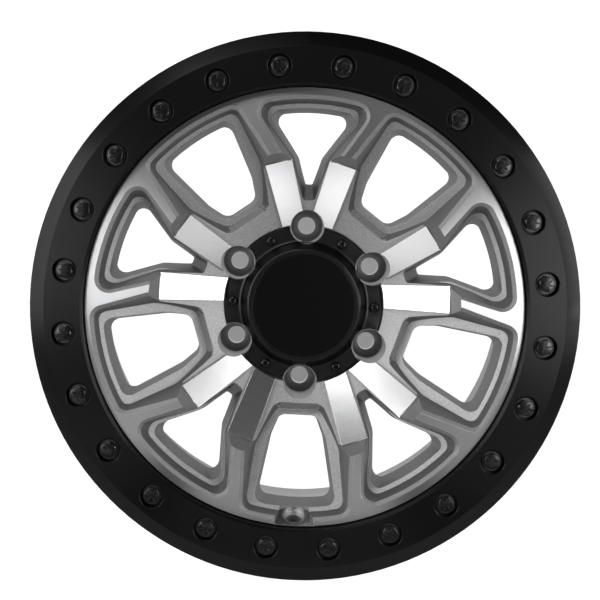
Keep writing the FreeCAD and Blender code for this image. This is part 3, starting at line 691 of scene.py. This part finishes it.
def stage_white():
    """Cloth that keeps the wheel's shadow, with a white glow for the camera and for metal in front of it."""
    material = bpy.data.materials.new("stage_white")
    material.use_nodes = True
    tree = material.node_tree
    tree.nodes.clear()
    out = add(tree, "ShaderNodeOutputMaterial")
    cloth = add(tree, "ShaderNodeBsdfDiffuse")
    glow = add(tree, "ShaderNodeEmission", Color=(1.0, 1.0, 1.0, 1.0))
    both = add(tree, "ShaderNodeAddShader")
    path = add(tree, "ShaderNodeLightPath")
    pick = add(tree, "ShaderNodeMixShader")
    place = add(tree, "ShaderNodeTexCoord")
    split = add(tree, "ShaderNodeSeparateXYZ")
    shade = add(tree, "ShaderNodeMix", data_type="RGBA")
    shade.inputs["A"].default_value = DARK_CLOTH
    shade.inputs["B"].default_value = PALE_CLOTH
    strength = add(tree, "ShaderNodeMath", operation="MULTIPLY")
    mirrored = add(tree, "ShaderNodeMath", operation="MULTIPLY")
    seen = add(tree, "ShaderNodeMath", operation="MAXIMUM")
    link = tree.links.new
    link(place.outputs["Object"], split.inputs["Vector"])
    depth = split.outputs["Y"]
    link(add_ramp(tree, depth, (DARK_FLOOR_Y, PALE_FLOOR_Y)), shade.inputs["Factor"])
    link(shade.outputs["Result"], cloth.inputs["Color"])
    # The glow is dimmed by the patch of painted shade behind the hub.
    link(add_painted_shade_patch(tree, place.outputs["Object"]), strength.inputs[0])
    glow_levels = (DARK_FLOOR_GLOW, PALE_FLOOR_GLOW)
    link(add_ramp(tree, depth, (DARK_FLOOR_Y, PALE_FLOOR_Y), glow_levels), strength.inputs[1])
    link(strength.outputs["Value"], glow.inputs["Strength"])
    link(path.outputs["Is Glossy Ray"], mirrored.inputs[0])
    link(add_ramp(tree, depth, (MIRRORED_FROM_Y, MIRRORED_FULLY_Y)), mirrored.inputs[1])
    link(path.outputs["Is Camera Ray"], seen.inputs[0])
    link(mirrored.outputs["Value"], seen.inputs[1])
    link(cloth.outputs["BSDF"], both.inputs[0])
    link(glow.outputs["Emission"], both.inputs[1])
    link(seen.outputs["Value"], pick.inputs["Fac"])
    link(cloth.outputs["BSDF"], pick.inputs[1])
    link(both.outputs["Shader"], pick.inputs[2])
    link(pick.outputs["Shader"], out.inputs["Surface"])
    return material


def stage_sheet():
    """Floor and backdrop of the picture, which are no piece of the wheel."""
    mesh = stage_mesh()
    mesh.materials.append(stage_white())
    sheet = bpy.data.objects.new("stage_sheet", mesh)
    bpy.context.scene.collection.objects.link(sheet)


# Points that the lights face, and the height of the cards just above the floor.
FACE_CENTRE = (0, -0.1, 0)
UPPER_RING = (0, -0.12, 0.1)
FLOOR_CARD_Z = -0.23


def soft_box(name, place, target, width, height, power):
    """Rectangular studio light facing a point."""
    light = bpy.data.lights.new(name, "AREA")
    light.shape = "RECTANGLE"
    light.size = width
    light.size_y = height
    light.energy = power
    lamp = bpy.data.objects.new(name, light)
    lamp.location = place
    lamp.rotation_euler = (Vector(target) - Vector(place)).to_track_quat("-Z", "Y").to_euler()
    bpy.context.scene.collection.objects.link(lamp)


def floor_card(name, x, y, width, depth, power):
    """Glowing card that lies on the floor and faces up."""
    soft_box(name, (x, y, FLOOR_CARD_Z), (x, y, 1.0), width, depth, power)


stage_sheet()

# Large boxes light the paint and the pads, side boxes the ring's bevel, strips the turned face.
soft_box("left_box", (-1.1, -0.9, 0.1), FACE_CENTRE, 1.0, 1.3, 10.2)
soft_box("right_box", (0.9, -0.95, 0.12), FACE_CENTRE, 0.5, 1.2, 4.8)
soft_box("upper_left_box", (-0.4, -0.95, 0.95), FACE_CENTRE, 0.7, 0.45, 3.7)
soft_box("left_side_box", (-1.3, -0.15, 0.25), UPPER_RING, 0.4, 1.0, 2.6)
soft_box("right_side_box", (1.3, -0.15, 0.3), UPPER_RING, 0.4, 1.1, 5.5)
soft_box("left_strip", (-0.62, -1.25, 0.06), FACE_CENTRE, 0.12, 0.4, 1.7)
soft_box("right_strip", (0.58, -1.25, 0.03), FACE_CENTRE, 0.12, 0.4, 2.3)
soft_box("upper_strip", (0.22, -1.3, 0.42), FACE_CENTRE, 0.36, 0.08, 0.12)

# The upper pads mirror the floor in front of the wheel, so cards lie there.
floor_card("floor_card", 0.0, -0.43, 0.22, 0.14, 0.15)
floor_card("floor_card_left", -0.3, -0.61, 0.26, 0.26, 0.26)
floor_card("floor_card_right", 0.3, -0.61, 0.26, 0.26, 0.19)

world = bpy.data.worlds.new("studio")
bpy.context.scene.world = world
world.use_nodes = True
background = world.node_tree.nodes["Background"]
background.inputs["Color"].default_value = (1.0, 1.0, 1.0, 1.0)
background.inputs["Strength"].default_value = 0.03


# The camera as fitted to the photograph: metres, degrees and millimetres.
CAMERA_PLACE = (-0.01836, -1.29357, 0.08343)
CAMERA_YAW = -0.686
CAMERA_PITCH = -2.89
CAMERA_ROLL = 2.734
CAMERA_LENS = 82.37
CAMERA_SENSOR = 36.0
CAMERA_SHIFT = (0.05357, -0.03557)


def photo_camera():
    """Camera almost straight in front of the face, a little above the axle, rolled as the photograph is."""
    yaw, pitch, roll = (math.radians(a) for a in (CAMERA_YAW, CAMERA_PITCH, CAMERA_ROLL))
    ahead = Vector((math.sin(yaw) * math.cos(pitch), math.cos(yaw) * math.cos(pitch), math.sin(pitch)))
    level = ahead.cross(Vector((0, 0, 1))).normalized()
    above = level.cross(ahead)
    right = level * math.cos(roll) + above * math.sin(roll)
    up = above * math.cos(roll) - level * math.sin(roll)
    data = bpy.data.cameras.new("photo_camera")
    data.sensor_fit = "HORIZONTAL"
    data.sensor_width = CAMERA_SENSOR
    data.lens = CAMERA_LENS
    data.shift_x, data.shift_y = CAMERA_SHIFT
    data.clip_start = 0.05
    camera = bpy.data.objects.new("photo_camera", data)
    turn = Matrix((right, up, -ahead)).transposed().to_4x4()
    camera.matrix_world = Matrix.Translation(CAMERA_PLACE) @ turn
    bpy.context.scene.collection.objects.link(camera)
    bpy.context.scene.camera = camera


photo_camera()
bpy.context.scene.view_settings.view_transform = "Standard"

bpy.context.view_layer.update()
